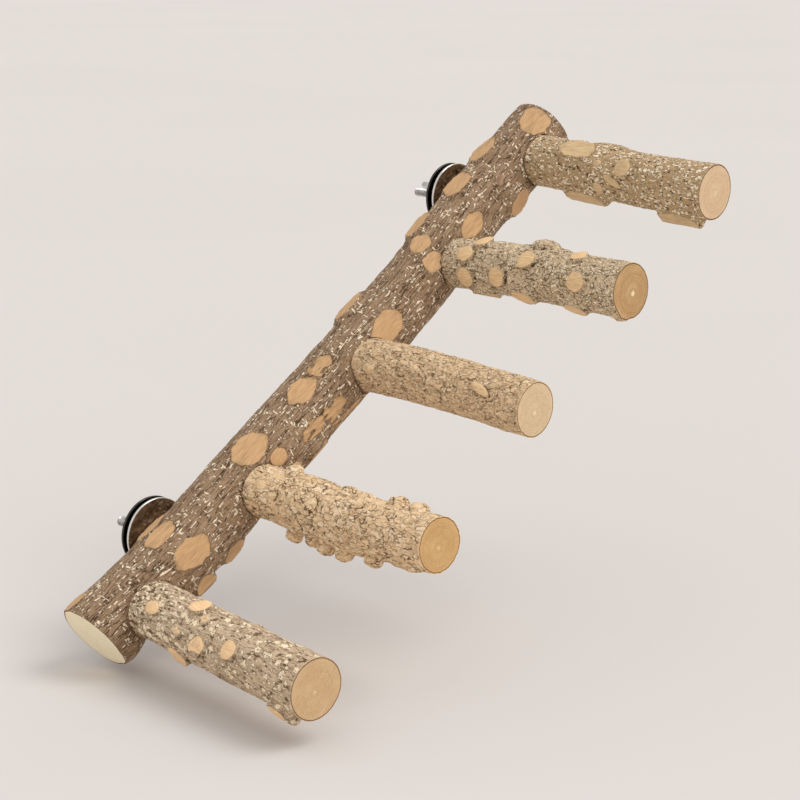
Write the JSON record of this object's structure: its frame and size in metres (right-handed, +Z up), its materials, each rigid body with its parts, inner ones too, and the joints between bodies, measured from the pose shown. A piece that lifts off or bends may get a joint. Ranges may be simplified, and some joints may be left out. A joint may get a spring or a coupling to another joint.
{
  "type": "bird ladder",
  "caption": "Slanting natural branch with bark-covered perch branches as steps, clamped through a wire cage wall by hanger bolts, wide washers and wing nuts.",
  "frame": {"origin": "where the lower stud crosses the wall face of the lower outer washer, the plane that lies against the wires", "axes": "+Y square to the wall and through it, along both studs; +Z up; +X along the wall, the way the trunk climbs"},
  "size_m": [0.349, 0.2008, 0.2624],
  "materials": {
    "trunk_bark": "rough grey-brown bark with pale flecks, sliced knots and sawn ends",
    "perch_bark": "rough tan bark with sliced knots and sawn ends",
    "zinc_steel": "bright zinc plated",
    "washer_steel": "polished stainless",
    "screw_steel": "yellow zinc plated"
  },
  "bodies": {
    "ladder": {"trunk": "trunk_bark", "perch_1": "perch_bark", "perch_2": "perch_bark", "perch_3": "perch_bark", "perch_4": "perch_bark", "perch_5": "perch_bark", "perch_screw_1": "screw_steel", "perch_screw_2": "screw_steel", "perch_screw_3": "screw_steel", "perch_screw_4": "screw_steel", "perch_screw_5": "screw_steel", "lower_hanger_bolt": "zinc_steel", "upper_hanger_bolt": "zinc_steel"},
    "lower_outer_washer": {"lower_outer_washer": "washer_steel"},
    "lower_inner_washer": {"lower_inner_washer": "washer_steel"},
    "lower_wing_nut": {"lower_wing_nut": "zinc_steel"},
    "upper_outer_washer": {"upper_outer_washer": "washer_steel"},
    "upper_inner_washer": {"upper_inner_washer": "washer_steel"},
    "upper_wing_nut": {"upper_wing_nut": "zinc_steel"}
  },
  "joints": [
    {"name": "lower_outer_slide", "type": "slide", "parent": "ladder", "child": "lower_outer_washer", "axis": [0, 1, 0], "range_m": [0, 0.0012]},
    {"name": "lower_clamp_slide", "type": "slide", "parent": "ladder", "child": "lower_inner_washer", "axis": [0, 1, 0], "range_m": [-0.00165, 0.01605]},
    {"name": "lower_nut_turn", "type": "hinge", "parent": "lower_inner_washer", "child": "lower_wing_nut", "pos_m": [0, 0.0047, 0], "axis": [0, 1, 0], "range_deg": [-720, 7200]},
    {"name": "upper_outer_slide", "type": "slide", "parent": "ladder", "child": "upper_outer_washer", "axis": [0, 1, 0], "range_m": [0, 0.0012]},
    {"name": "upper_clamp_slide", "type": "slide", "parent": "ladder", "child": "upper_inner_washer", "axis": [0, 1, 0], "range_m": [-0.00165, 0.01605]},
    {"name": "upper_nut_turn", "type": "hinge", "parent": "upper_inner_washer", "child": "upper_wing_nut", "pos_m": [0.22036, 0.0047, 0.15602], "axis": [0, 1, 0], "range_deg": [-720, 7200]}
  ],
  "couplings": [
    {"joint": "lower_clamp_slide", "follows": "lower_nut_turn", "m_per_rad": 0.00012732},
    {"joint": "upper_clamp_slide", "follows": "upper_nut_turn", "m_per_rad": 0.00012732}
  ]
}
